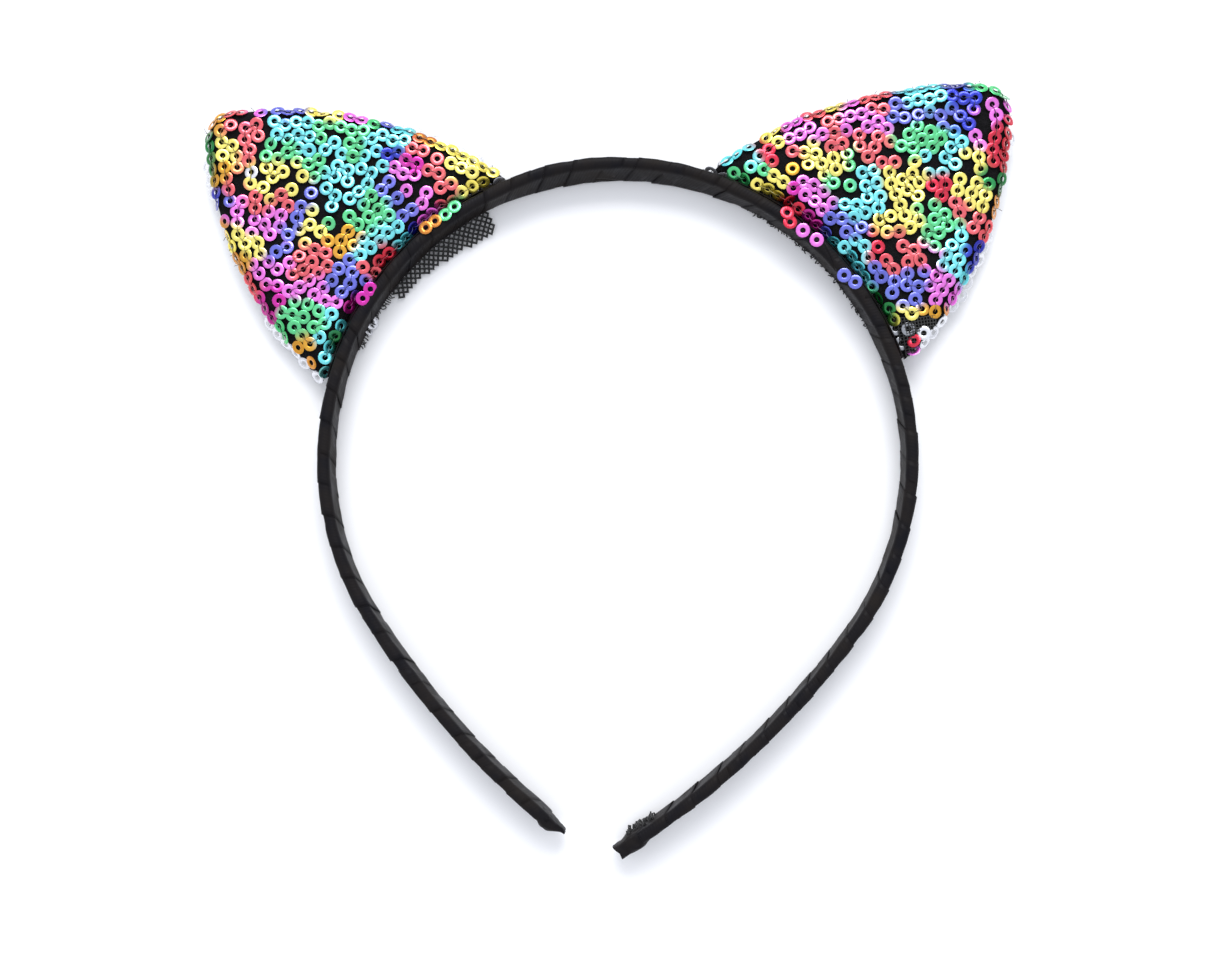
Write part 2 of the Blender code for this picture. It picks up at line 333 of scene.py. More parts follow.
def ribbon_piece(name, first, last):
    """The stretch of ribbon whose middle runs from one length along the band to another."""
    per_mm = SLANT / PITCH
    overlap = RIBBON_WIDTH * SLANT / GIRTH - PITCH
    long = (last - first) * per_mm

    def place(a, b):
        run = first * per_mm + a * long
        across = (b - 0.5) * RIBBON_WIDTH
        length = (run * PITCH + across * GIRTH) / SLANT
        travel = (run * GIRTH - across * PITCH) / SLANT
        hand = ripple(run * 0.045, 3.1, 0.0)
        pucker = ripple(length * 0.35, travel * 0.3, 7.7)
        swell = ripple(length * 0.11, travel * 0.08, 2.2)
        firm = 0.65 + 0.7 * ripple(run * 0.06, 8.2, 0.0)
        on_top = 1 - ease(across, -RIBBON_WIDTH / 2 + overlap - 1.2, -RIBBON_WIDTH / 2 + overlap + 0.4)
        edge = ease(-across, RIBBON_WIDTH / 2 - 0.7, RIBBON_WIDTH / 2)
        lift = STEP_UP * firm * (on_top + edge) + PUCKER * pucker + SWELL * swell
        length = max(band_end(-1), min(band_end(1), length + WANDER * hand))
        return on_band(length, travel, lift)

    shape = cloth_grid(round(long / CELL_LONG), CELLS_WIDE, place, (long, RIBBON_WIDTH))
    piece = finish_piece(name, shape, RIBBON, smooth=70.0)
    thicken(piece, RIBBON_THICK)
    return piece, long


def joint_ends(angle, reach=4.0):
    """Start and end of the bend at a joint, in metres, from the crown's side to the tip's side."""
    sign = -1 if angle < 0 else 1
    places = [band_line(along_hoop(angle) + sign * step)[0] for step in (-reach, reach)]
    return [(place.x * MM, place.y * MM, MID_Z * MM) for place in places]


for sign, side in SIDE.items():
    mid_side = along_hoop((CROWN_END[sign] + TEMPLE[sign]) / 2)
    piece, long = ribbon_piece(side + "_ribbon_turns", *sorted((0.0, mid_side)))
    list(joint_ends(CROWN_END[sign]))
    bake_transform(piece)
    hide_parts("ribbon_" + side + "_side", *(["ribbon_crown"] if sign < 0 else []))
    piece, long = ribbon_piece(side + "_arm_ribbon_turns", *sorted((mid_side, band_end(sign))))
    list(joint_ends(TEMPLE[sign]))
    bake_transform(piece)
    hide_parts("ribbon_" + side + "_arm")

# %% [markdown]
# ## The ribbon's two cut ends
# Past the strip, the ribbon is folded flat and glued. The left end is folded to a blunt point. The
# right end was cut with a shallow notch and not sealed, so its threads have come loose. A flat plate
# would do from above, but from the side it would look like card. So each end is a short sleeve of
# ribbon, lofted along the arm, and both its outline and its height change on the way.

# %% Ribbon ends
TIP_START, TIP_TALL = -2.2, 7.1          # the sleeves start on the strip, at nearly the band's height
SLEEVE_GRID = (26, 28)
CREASE = 0.16
PRESSED = 0.6                # power that makes a round section boxy


def along_arm(sign, past, across):
    """A point past the end of the strip; across is positive towards the inside of the hoop."""
    point, outward = band_line(band_end(sign))
    onward = Vector((outward.y, -outward.x)) * sign
    return point + onward * past - outward * across


def ribbon_tip(side, sign, reach, outline, cut):
    """A pressed sleeve. outline(a) gives its two edges and its height, cut(share) the shape of its end."""
    def place(a, b):
        turn = 2 * math.pi * b
        side_way, upward = [
            math.copysign(abs(v) ** PRESSED, v) for v in (math.cos(turn), math.sin(turn))]
        share = (side_way + 1) / 2
        past = TIP_START + a * (reach + cut(share) - TIP_START)
        low, high, tall = outline(a)
        crease = CREASE * ripple(past * 0.9, share * 3, upward * 1.5 + sign)
        across = low + (high - low) * share + crease
        spot = along_arm(sign, past, across)
        return Vector((spot.x, spot.y, BAND_Z - 0.15 + tall / 2 * upward * (1 + crease)))

    shape = cloth_grid(*SLEEVE_GRID, place, (reach - TIP_START, RIBBON_WIDTH))
    bmesh.ops.remove_doubles(shape, verts=shape.verts, dist=0.004)
    rims = [edge for edge in shape.edges if edge.is_boundary]
    bmesh.ops.holes_fill(shape, edges=rims, sides=0)
    bmesh.ops.recalc_face_normals(shape, faces=shape.faces)
    piece = finish_piece(side + "_ribbon_tip", shape, RIBBON, smooth=60.0)
    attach(piece, side + "_arm")
    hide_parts(side + "_ribbon_end")


def folded_point(a):
    """The outer edge swings in, so the end is blunt and lies towards the inside of the hoop."""
    low = -1.4 - 0.6 * ease(a, 0.0, 0.3) + 1.85 * ease(a, 0.42, 1.0)
    return low, 1.4 - 0.85 * a - 0.25 * ease(a, 0.93, 1.0), TIP_TALL - 3.4 * ease(a, 0.2, 1.0)


def cut_end(a):
    """Nearly the full width of the band all the way, a little slimmer past its middle."""
    low = -1.4 - 0.8 * ease(a, 0.0, 0.4) + 0.15 * ease(a, 0.45, 0.8)
    high = 1.35 + 0.25 * ease(a, 0.0, 0.2) - 0.5 * ease(a, 0.55, 0.75)
    return low, high, TIP_TALL - 2.6 * ease(a, 0.2, 1.0)


ribbon_tip("left", -1, 4.6, folded_point, lambda share: 0.0)
ribbon_tip("right", 1, 5.4, cut_end, lambda share: 1.37 * abs(share - 0.38))

# %% [markdown]
# ## Threads
# Stitches, cut net ends and loose hairs are all short lengths of thread. A curve with a bevel depth
# makes hundreds of them in one go, each with closed ends. It is turned into a mesh at the end,
# because only a mesh can bend with the band.

# %% Threads as one piece
def thread_piece(name, paths, radius, material):
    """Many threads as one mesh. Each path is a list of (x, y, z) points in millimetres."""
    curve = bpy.data.curves.new(name, "CURVE")
    curve.dimensions = "3D"
    curve.bevel_depth = radius
    curve.bevel_resolution = 1
    curve.use_fill_caps = True
    for path in paths:
        spline = curve.splines.new("POLY")
        spline.points.add(len(path) - 1)
        for point, place in zip(spline.points, path):
            point.co = (*place, 1.0)
    guide = bpy.data.objects.new(name + "_line", curve)
    bpy.context.scene.collection.objects.link(guide)
    drawn = guide.evaluated_get(bpy.context.evaluated_depsgraph_get())
    shape = bmesh.new()
    shape.from_mesh(bpy.data.meshes.new_from_object(drawn))
    bpy.data.objects.remove(guide, do_unlink=True)
    bmesh.ops.remove_doubles(shape, verts=shape.verts, dist=0.001)
    bmesh.ops.recalc_face_normals(shape, faces=shape.faces)
    print(len(paths), "threads:", end=" ")
    return finish_piece(name, shape, material, smooth=180.0)


def black_thread():
    """Spun polyester, dyed black: dull, with a little fuzz that catches the light at its edges."""
    thread = new_finish("spun_polyester_thread")
    fibre = grain(thread, 5000.0, Detail=2.0)
    return shaded(thread, Roughness=0.8, Sheen_Weight=0.3, Sheen_Roughness=0.5,
                  Base_Color=tones(thread, fibre, "#040405", "#141415"))


THREAD = black_thread()

# %% Loose threads at the cut ribbon end
FRAY_CLUMPS = (-3.3, -1.2, 0.5, 2.3)     # where threads have bunched, in mm past the strip's end
CLUMP_THREADS, FRAY_R = 16, 0.17


def frayed_end():
    draw, paths = random.Random(5), []
    for clump in FRAY_CLUMPS:
        for _ in range(CLUMP_THREADS):
            past = clump + draw.gauss(0, 0.5)
            reach = draw.uniform(0.2, 1.0)
            height = draw.uniform(0.9, 4.6)
            places = ((0.0, 0.9), (-0.2, 1.5 + 0.4 * reach), (-0.7 * reach, 1.6 + reach))
            paths.append([(*along_arm(1, past + on, across), height + draw.uniform(-0.15, 0.15))
                          for on, across in places])
    return thread_piece("right_frayed_threads", paths, FRAY_R, THREAD)


frayed = frayed_end()
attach(frayed, "right_arm")

# %% [markdown]
# ## The outline of an ear
# Both ears are cut from one pattern. In it, u runs along the band towards the crown, and w straight out
# from the middle of the hoop. The outline has two bowed edges, a round tip, and a base that follows
# the hoop. It is drawn again here from the numbers of the frame.

# %% Outline of an ear
EAR_BASE_R = 63.5
EAR_HALF = 28.4
EAR_TIP, EAR_TIP_R, TIP_TURN = Vector((-3.4, 104.3)), 6.6, (152.0, 36.0)
EDGE_BOW = (5.2, 5.0)
SEAM = 0.45                  # half the thickness of the edge seam
ROLL = 4.2                   # the padding rolls off to the seam over this width


def bowed(start, end, bow, count):
    chord = end - start
    half = chord.length / 2
    radius = (half * half + bow * bow) / (2 * bow)
    left = Vector((-chord.y, chord.x)).normalized()
    centre = (start + end) / 2 + left * (bow - radius)
    reach = math.asin(half / radius)
    turns = [reach - 2 * reach * i / count for i in range(count + 1)]
    return [centre + radius * (left * math.cos(t) - chord.normalized() * math.sin(t)) for t in turns]


def arc(centre, radius, first, last, count):
    """Points on an arc; angles in degrees, anticlockwise from the u axis."""
    turns = [math.radians(first + (last - first) * i / count) for i in range(count + 1)]
    return [centre + radius * Vector((math.cos(t), math.sin(t))) for t in turns]


def ear_outline():
    corner_w = math.sqrt(EAR_BASE_R ** 2 - EAR_HALF ** 2)
    corner = math.degrees(math.acos(EAR_HALF / EAR_BASE_R))
    tip = arc(EAR_TIP, EAR_TIP_R, *TIP_TURN, 16)
    outer = bowed(Vector((-EAR_HALF, corner_w)), tip[0], EDGE_BOW[0], 40)
    inner = bowed(tip[-1], Vector((EAR_HALF, corner_w)), EDGE_BOW[1], 42)
    base = arc(Vector((0, 0)), EAR_BASE_R, corner, 180 - corner, 40)
    return np.array(outer[:-1] + tip[:-1] + inner[:-1] + base[:-1])


OUTLINE = ear_outline()
LEGS = np.roll(OUTLINE, -1, axis=0) - OUTLINE


def depth_inside(spots):
    """How far (u, w) points lie inside the outline; negative outside."""
    away = spots[:, None, :] - OUTLINE[None]
    share = np.clip((away * LEGS).sum(-1) / (LEGS * LEGS).sum(-1), 0, 1)
    gap = np.linalg.norm(away - share[..., None] * LEGS, axis=-1).min(axis=1)
    ends = OUTLINE + LEGS
    crosses = (OUTLINE[:, 1] > spots[:, 1, None]) != (ends[:, 1] > spots[:, 1, None])
    level = np.where(crosses, LEGS[:, 1], 1.0)
    u_there = OUTLINE[:, 0] + (spots[:, 1, None] - OUTLINE[:, 1]) * LEGS[:, 0] / level
    inside = (crosses & (spots[:, 0, None] < u_there)).sum(axis=1) % 2 == 1
    return np.where(inside, gap, -gap)


def ear_frame(sign, up=1):
    """Matrix from (u, w, height above the middle plane) to the hoop's own millimetres."""
    outward = outward_at(EAR_AT[sign])
    crown = Vector((outward.y, -outward.x)) * -sign
    return Matrix((
        (crown.x, outward.x, 0.0, HOOP_CENTRE.x),
        (crown.y, outward.y, 0.0, HOOP_CENTRE.y),
        (0.0, 0.0, up, MID_Z),
        (0.0, 0.0, 0.0, 1.0),
    ))


# %% [markdown]
# ## The plump surface
# The padding swells the pocket like a quarter of an ellipse near its seam, and leaves it nearly flat
# in the middle. The stitches pull small hollows into it, which a soft noise gives.

# %% Height of the pocket
HOLLOWS = 0.35               # how deep the stitches pull
PANEL_MIDDLE = (0.0, 83.0)
PANEL_RINGS = 22
PANEL_SHRINK = 0.992         # a panel ends just inside the seam


def pocket_height(spots, half, seed):
    share = np.clip(depth_inside(spots) / ROLL, 0, 1)
    swell = SEAM + (half - SEAM) * np.sqrt(1 - (1 - share) ** 2)
    puckers = np.array([ripple(u * 0.17, w * 0.17, seed) for u, w in spots])
    return swell + HOLLOWS * puckers * share


def slope_normal(spots, half, seed, reach=0.35):
    """Unit normals of the pocket, in (u, w, height)."""
    slopes = []
    for step in (np.array([reach, 0.0]), np.array([0.0, reach])):
        rise = pocket_height(spots + step, half, seed) - pocket_height(spots - step, half, seed)
        slopes.append(-rise / (2 * reach))
    normals = np.column_stack([*slopes, np.ones(len(spots))])
    return normals / np.linalg.norm(normals, axis=1)[:, None]


def blend_ear(piece, side, sign):
    outward = outward_at(EAR_AT[sign])
    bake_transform(piece)


def pocket_panel(name, sign, up, half, seam, seed, material, both=False):
    """A panel of the pocket: rings that run from the middle of the ear out to its seam."""
    rim = np.vstack([OUTLINE, OUTLINE[:1]])
    middle = np.array(PANEL_MIDDLE)

    def place(a, b):
        at = a * len(OUTLINE)
        step = min(int(at), len(OUTLINE) - 1)
        edge = rim[step] + (rim[step + 1] - rim[step]) * (at - step)
        spot = middle + (edge - middle) * (1 - (1 - b) ** 1.6) * PANEL_SHRINK
        return Vector((*spot, 0.0))

    shape = cloth_grid(len(OUTLINE), PANEL_RINGS, place, (1.0, 1.0))
    uv_layer = shape.loops.layers.uv.verify()
    for face in shape.faces:
        for corner in face.loops:
            corner[uv_layer].uv = corner.vert.co.xy / 10
    spots = np.array([vert.co.xy for vert in shape.verts])
    heights = pocket_height(spots, half, seed)
    rest = np.clip((heights - SEAM) / (half - SEAM), 0, 2)
    for vert, share in zip(shape.verts, rest):
        vert.co.z = seam + (half - seam) * share
    bmesh.ops.remove_doubles(shape, verts=shape.verts, dist=0.01)
    if both:
        bmesh.ops.mirror(shape, geom=list(shape.verts) + list(shape.edges) + list(shape.faces),
                         matrix=Matrix.Identity(4), merge_dist=0.02, axis="Z")
        bmesh.ops.recalc_face_normals(shape, faces=shape.faces)
    shape.normal_update()
    bmesh.ops.transform(shape, matrix=ear_frame(sign, up), verts=shape.verts)
    shape.normal_update()
    if not both and sum(face.normal.z for face in shape.faces) * up < 0:
        bmesh.ops.reverse_faces(shape, faces=shape.faces)
    return finish_piece(name, shape, material, smooth=60.0)


# %% [markdown]
# ## Black net and felt
# The sequins are sewn on a fine black net, and a thin felt lies under it. Between the rings one sees
# only a dull black with a faint grid. Net is knitted, so its threads run both ways about 0.6 mm apart.

# %% Net and felt
NET_CELLS = 16.0             # cells in a centimetre


def net_over_felt():
    net = new_finish("knitted_net_over_felt")
    cloth = add(net, "UVMap")
    cells = add(net, "TexVoronoi", {"Vector": cloth.outputs["UV"], "Scale": NET_CELLS},
                feature="DISTANCE_TO_EDGE")
    felt = grain(net, 900.0, Detail=4.0)
    thread = ranged(net, cells.outputs["Distance"], 1.0, 0.0, 0.03, 0.12)
    lit = add(net, "Mix", {"Factor": thread, "A": tones(net, felt, "#030304", "#0e0d0f"),
                           "B": linear("#131214")}, data_type="RGBA")
    return shaded(net, Roughness=0.95, Specular_IOR_Level=0.15, Base_Color=lit.outputs["Result"],
                  Normal=relief(net, added(net, thread, felt), 0.6, 0.00012))


def polyester_wadding():
    """The filling: dark needled polyester, matt and fluffy. It is hidden by the pocket."""
    filling = new_finish("needled_polyester_wadding")
    fluff = grain(filling, 700.0, Detail=6.0)
    return shaded(filling, Roughness=1.0, Sheen_Weight=0.5,
                  Base_Color=tones(filling, fluff, "#121213", "#2a2a2c"),
                  Normal=relief(filling, fluff, 0.8, 0.0003))


NET = net_over_felt()
WADDING = polyester_wadding()

# %% [markdown]
# ## Sequin film
# A sequin is punched from polyester film with a thin layer of aluminium and a clear lacquer in a
# rainbow print. Flat on to the light it mirrors the softbox, so its colour is pale and clean. Tilted,
# it mirrors the dark part of the room, and its colour is deep. So the film is nearly a metal, and its
# colour comes from an attribute that carries the print across the rings. That attribute also holds
# painted shade: deep tints and a darkening by tilt, for rings that lean away from the light.

# %% Sequin film
def sequin_film():
    film = new_finish("metallised_polyester_film")
    colour = add(film, "Attribute", attribute_name="film")
    scuffs, dents = grain(film, 3000.0, Detail=3.0), grain(film, 900.0, Detail=1.0)
    return shaded(film, Metallic=0.85, Coat_Weight=0.6, Coat_Roughness=0.12,
                  Base_Color=colour.outputs["Color"], Roughness=ranged(film, scuffs, 0.22, 0.42, 0.35, 0.7),
                  Normal=relief(film, dents, 0.35, 0.0002))


def stitch_thread():
    """Clear nylon monofilament. Its colour is the film under it, darker: a painted reflection and painted
    shade.
    """
    nylon = new_finish("nylon_monofilament")
    painted_film_reflection = add(nylon, "Attribute", attribute_name="film")
    shade = ranged(nylon, grain(nylon, 2500.0), 0.6, 1.3)
    mixed = add(nylon, "Mix", {"Factor": 1.0, "A": painted_film_reflection.outputs["Color"], "B": shade},
                data_type="RGBA", blend_type="MULTIPLY")
    return shaded(nylon, Roughness=0.35, Coat_Weight=0.3, Base_Color=mixed.outputs["Result"])


FILM = sequin_film()
MONOFILAMENT = stitch_thread()

# %% [markdown]
# ## Where the rings are sewn
# A machine sews the rings in short wandering chains. Each ring overlaps the one before, and chains
# keep a little apart, which leaves the black gaps. A regular grid would look like printed paper. So
# each chain is walked: it turns to wherever there is room, and hugs its neighbours.

# %% Walk the chains
RING_R, HOLE_R = 1.48, 0.58
STEP = 2.42                  # from ring to ring in a chain
ROOM = 2.56                  # from a ring to any other
SEAM_ROW = (0.45, 1.15)      # how far inside the seam the first row is sewn
LONGEST_CHAIN = 8
WIDEST_TURN, TURNS = 1.75, 13            # a chain turns by up to this, in radians; turns it tries
TRIES, GIVE_UP = 30, 90      # starts tried at once, and failures in a row that end the sewing
FRONT_HALF, BACK_HALF = 3.3, 2.55


class Cloth:
    """Rings already sewn on one face, and whether another fits."""

    def __init__(self, half, seed, allowed):
        self.half, self.seed, self.allowed = half, seed, allowed
        self.spots = np.empty((0, 3))

    def lift_up(self, spot):
        return np.array([*spot, pocket_height(np.array([spot]), self.half, self.seed)[0]])

    def room(self, spot, skip_last):
        """Distance to the nearest ring, or None where a ring doesn't fit."""
        if not self.allowed(spot):
            return None
        others = self.spots[:-1] if skip_last else self.spots
        near = np.linalg.norm(others - self.lift_up(spot), axis=1)
        if len(near) and near.min() < ROOM:
            return None
        return np.sort(near)[:3].mean() if len(near) > 2 else 9.0

    def sew(self, spot):
        self.spots = np.vstack([self.spots, self.lift_up(spot)])


def walk_chain(cloth, draw, start):
    chain, heading = [start], draw.uniform(0, 2 * math.pi)
    cloth.sew(start)
    for _ in range(draw.randint(2, LONGEST_CHAIN)):
        options = []
        for turn in np.linspace(-WIDEST_TURN, WIDEST_TURN, TURNS):
            way = np.array([math.cos(heading + turn), math.sin(heading + turn)])
            rise = cloth.lift_up(chain[-1] + way)[2] - cloth.spots[-1][2]
            spot = chain[-1] + way * STEP / math.hypot(1, rise)
            room = cloth.room(spot, skip_last=True)
            if room is not None:
                options.append((room + 0.2 * abs(turn) + draw.uniform(0, 0.25), turn, spot))
        if not options:
            break
        _, turn, spot = min(options, key=lambda option: option[0])
        heading += turn
        chain.append(spot)
        cloth.sew(spot)
    return chain


def seam_row(cloth, draw):
    """The first row follows the seam, broken into chains, some rings further in than others."""
    ends = np.cumsum(np.linalg.norm(LEGS, axis=1))
    chains, chain, at = [], [], 0.3
    while at < ends[-1]:
        leg = int(np.searchsorted(ends, at))
        ahead = LEGS[leg] / np.linalg.norm(LEGS[leg])
        inward = np.array([ahead[1], -ahead[0]])
        spot = OUTLINE[leg] + ahead * (np.linalg.norm(LEGS[leg]) - ends[leg] + at)
        spot = spot + inward * draw.uniform(*SEAM_ROW)
        if cloth.room(spot, skip_last=bool(chain)) is None or draw.random() < 0.2:
            chains += [chain] if chain else []
            chain = []
            at += draw.uniform(0.3, 1.0)
            continue
        chain.append(spot)
        cloth.sew(spot)
        at += STEP * draw.uniform(0.98, 1.06)
    return chains + ([chain] if chain else [])


def sew_rings(half, seed, allowed):
    cloth, draw, misses = Cloth(half, seed, allowed), random.Random(seed), 0
    chains = seam_row(cloth, draw)
    low, high = OUTLINE.min(axis=0) - 1, OUTLINE.max(axis=0) + 1
    while misses < GIVE_UP:
        tries = [np.array([draw.uniform(*pair) for pair in zip(low, high)]) for _ in range(TRIES)]
        free = [(cloth.room(spot, skip_last=False), i) for i, spot in enumerate(tries)]
        free = [pair for pair in free if pair[0] is not None]
        misses = 0 if free else misses + 1
        if free:
            chains.append(walk_chain(cloth, draw, tries[min(free)[1]]))
    print("rings:", len(cloth.spots), "in", len(chains), "chains")
    return chains


# %% [markdown]
# ## The rainbow print, with painted shade
# The print runs in soft-edged patches across the film, so neighbouring rings share a colour and a ring
# on a border has two. The patches differ on the two ears, because both were cut from one long cloth.
# The deep tints are print colours darkened as painted shade, for rings that tilt away from the light.
# Listed dabs say where each colour lies, each by its u and w in millimetres on the ear pattern.

# %% Rainbow dabs
# The first six tints are the print. gold, bottle, navy, wine, red and copper are print colours darkened as
# painted shade, for rings that tilt away from the light.
TINTS = {
    "yellow": "#f5e674", "coral": "#e5626a", "green": "#5fd08a", "cyan": "#78e0e6", "blue": "#6c72d2",
    "magenta": "#e878dc", "gold": "#dda22c", "bottle": "#1c8a48", "navy": "#2c38b8", "wine": "#cc26a2",
    "red": "#cf2340", "copper": "#c47a28",
}
DABS = {
    -1: {
        "coral": (0, 107,  1, 101,  -3, 101,  -11, 97,  -10, 91,  -7, 88,  -11, 77,  -8, 73,  -14, 74,
            -24, 81,  -5, 64,  20, 73,  20, 69,  18, 64),
        "magenta": (3, 106,  18, 88,  -15, 94,  -9, 87,  -14, 88,  -14, 84,  -20, 81,  -18, 78,
            -15, 71,  -15, 66,  -19, 73,  14, 74,  14, 69,  12, 64),
        "blue": (7, 103,  10, 100,  20, 83,  -15, 97,  -2, 85,  -9, 83,  -15, 82,  -8, 68,  -12, 67,
            -8, 64,  11, 74,  10, 68),
        "yellow": (14, 94,  -6, 104,  -5, 95,  -1, 92,  -2, 88,  -6, 92,  -5, 79,  -8, 79,  -19, 90,
            -17, 86,  23, 66,  24, 71,  26, 64,  23, 60),
        "cyan": (3, 99,  7, 95,  6, 91,  9, 87,  4, 84,  8, 80,  5, 77,  16, 81,  12, 79,  19, 79,
            0, 80,  4, 68,  -3, 68,  -17, 64,  -23, 61,  4, 62),
        "green": (0, 98,  2, 94,  4, 88,  10, 91,  13, 87,  18, 85,  12, 84,  6, 74,  5, 71,  1, 74,
            -2, 77,  -22, 71,  -20, 66,  -25, 69),
        "gold": (-4, 111,  -11, 102,  -3, 73,  -6, 73,  -23, 86,  -27, 64,  -21, 94),
        "wine": (18, 72,  -23, 76,  -14, 61,  -8, 61),
        "bottle": (-8, 108,  -12, 104,  -21, 59,  17, 60),
        "navy": (-17, 99,  16, 78,  7, 61),
        "red": (0, 64,  -2, 62),
        "copper": (25, 74,  12, 61),
    },
    1: {
        "magenta": (12, 87,  16, 84,  18, 77,  21, 75,  -4, 104,  -6, 101,  12, 68,  8, 67,  -17, 75,
            -21, 74,  -24, 71),
        "coral": (8, 83,  4, 84,  14, 79,  18, 81,  21, 81,  14, 91,  19, 71,  -9, 73,  -12, 70,
            -15, 73,  -15, 87,  -20, 88),
        "blue": (10, 93,  6, 94,  1, 98,  3, 67,  -1, 67,  -8, 60,  -13, 65,  -18, 70,  -20, 66),
        "yellow": (1, 82,  -4, 85,  -5, 78,  -9, 78,  -7, 74,  -11, 91,  -15, 91,  -9, 96,  -22, 63,
            13, 72,  16, 65,  18, 61,  10, 76,  16, 74,  24, 71,  20, 83),
        "cyan": (9, 97,  5, 100,  -4, 97,  -5, 91,  3, 77,  0, 75,  2, 71,  -18, 81,  -21, 77,  -2, 63,
            -5, 65,  -11, 62,  27, 61,  24, 64),
        "green": (3, 93,  0, 95,  3, 88,  -10, 81,  -14, 83,  -15, 79,  -14, 61,  1, 109,  9, 78,
            8, 72,  5, 73,  24, 60,  21, 64),
        "gold": (-20, 92,  -26, 67,  16, 69),
        "wine": (6, 63,  3, 61,  13, 66),
        "bottle": (-14, 96,  -17, 98,  -17, 60),
        "navy": (3, 103,  0, 104,  -3, 99,  -24, 82),
        "red": (-8, 87,  -10, 103,  -13, 101,  24, 67,  11, 62,  22, 68,  -8, 69),
    },
}


def film_colours(sign, spots):
    """The print's colour at (u, w) points, with painted shade where a deep tint is dabbed."""
    dabs = DABS[sign]
    centres = np.concatenate([places for places in dabs.values()]).reshape(-1, 2).astype(float)
    tints = np.array([linear(TINTS[name])[:3] for name, places in dabs.items() for _ in places[::2]])
    drift = np.array([[ripple(u * 0.21, w * 0.21, 4.0 * sign + layer) for layer in (0, 31.7)]
                      for u, w in spots])
    far = np.linalg.norm((spots + 1.1 * drift)[:, None, :] - centres[None], axis=-1)
    share = np.exp(-3.6 * (far - far.min(axis=1)[:, None]))
    share /= share.sum(axis=1)[:, None]
    return share @ tints


# %% [markdown]
# ## One ring, and how it is set down
# The ring's section is a thin strip with both edges pressed down a little, which is what the punch
# does. Spinning it makes a closed ring of 56 faces, few enough to be copied a thousand times. Each
# copy leans over the ring before it, and is tipped a few degrees at random: that makes them twinkle.

# %% One ring
RING_STEPS = 14
FILM_EDGE, FILM_TOP = -0.03, 0.05


def ring_template():
    shape = bmesh.new()
    section = ((HOLE_R, FILM_EDGE), (HOLE_R + 0.11, FILM_TOP), (RING_R - 0.13, FILM_TOP), (RING_R, FILM_EDGE))
    corners = [shape.verts.new((radius, 0, height)) for radius, height in section]
    sides = [shape.edges.new(pair) for pair in zip(corners, corners[1:] + corners[:1])]
    bmesh.ops.spin(shape, geom=corners + sides, cent=(0, 0, 0), axis=(0, 0, 1), dvec=(0, 0, 0),
                   angle=2 * math.pi, steps=RING_STEPS, use_merge=True)
    bmesh.ops.recalc_face_normals(shape, faces=shape.faces)
    mesh = bpy.data.meshes.new("ring")
    shape.to_mesh(mesh)
    shape.free()
    return mesh


RING = ring_template()


def stamp(shape, matrix):
    first = len(shape.verts)
    shape.from_mesh(RING)
    shape.verts.ensure_lookup_table()
    bmesh.ops.transform(shape, matrix=matrix, verts=shape.verts[first:])


def settle(place, normal, ahead, draw, tip):
    """Matrix that lays a ring on the cloth, leaning back along its chain, with a random tip."""
    facing = Vector(normal)
    ahead = Vector(ahead) - facing * facing.dot(Vector(ahead))
    side = facing.cross(ahead).normalized()
    turned = Matrix.Rotation(math.radians(LEAN + draw.gauss(0, tip)), 3, side)
    turned = Matrix.Rotation(math.radians(draw.gauss(0, tip)), 3, ahead.normalized()) @ turned
    facing = turned @ facing
    first = turned @ ahead.normalized()
    second = facing.cross(first)
    matrix = Matrix((first, second, facing)).transposed().to_4x4()
    return Matrix.Translation(place) @ matrix


# %% Sew a whole face
LEAN = 4.5                   # degrees that a ring leans on the one before it
TIP_FLAT, TIP_LOOSE = 4.5, 15.0          # its random tip, where the cloth is flat and where it isn't
RING_LIFT, CRUSH_LIFT = 0.14, 0.3        # height over the cloth, and more of it against the band
SILVER = "#dcdde2"
PRINT_SPREAD = 0.4           # how far a colour border is drawn out across one ring
TILT_PAINTED_SHADE = 1.1             # painted shade: the more a ring tilts, the higher the power its colour is raised to, so it comes out deeper and darker


def near_base(spots):
    """1 where the cloth is crushed against the band, 0 further out."""
    return np.clip(1 - (np.linalg.norm(spots, axis=1) - EAR_BASE_R - 0.8) / 2.6, 0, 1)


